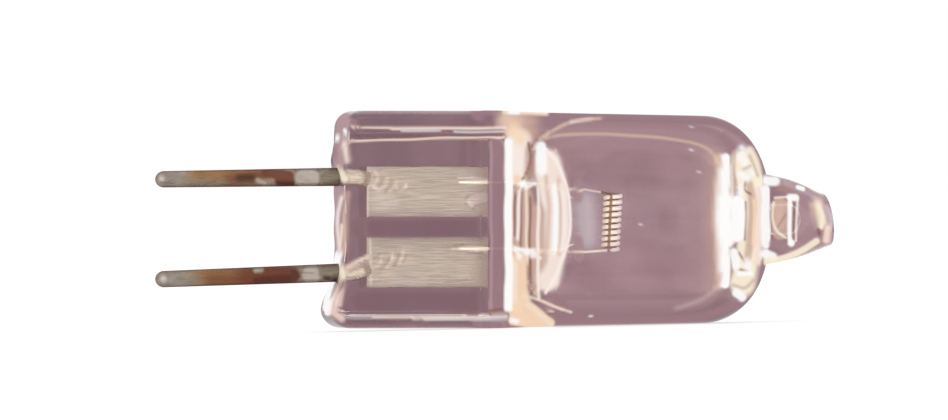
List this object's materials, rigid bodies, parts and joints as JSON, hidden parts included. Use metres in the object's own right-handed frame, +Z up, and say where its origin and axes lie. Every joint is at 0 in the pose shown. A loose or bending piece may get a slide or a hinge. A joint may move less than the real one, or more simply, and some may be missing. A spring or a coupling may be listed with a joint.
{
  "type": "halogen capsule bulb",
  "caption": "Small clear halogen capsule bulb: quartz tube with a flat press seal, a coiled filament across it, and straight round contact pins.",
  "frame": {"origin": "on the surface that the loose bulb lies on, under the middle of its box", "axes": "+X from the contact pins towards the exhaust tip, +Y through the thickness of the seal, +Z up, across the flat of the seal; the bulb lies on the seal's narrow side and on the edge of its dome, so its own axis dips 1.2 degrees towards the tip"},
  "size_m": [0.0284, 0.0088, 0.009],
  "materials": {
    "quartz": "clear, faintly mauve, fire-polished",
    "pin_metal": "nickel-plated, satin, with brown heat stains",
    "foil_metal": "molybdenum foil, satin",
    "tungsten": "drawn tungsten wire"
  },
  "bodies": {
    "root": {"quartz_envelope": "quartz", "contact_pin_upper": "pin_metal", "contact_pin_lower": "pin_metal", "sealing_foil_upper": "foil_metal", "sealing_foil_lower": "foil_metal", "filament": "tungsten"}
  },
  "joints": []
}
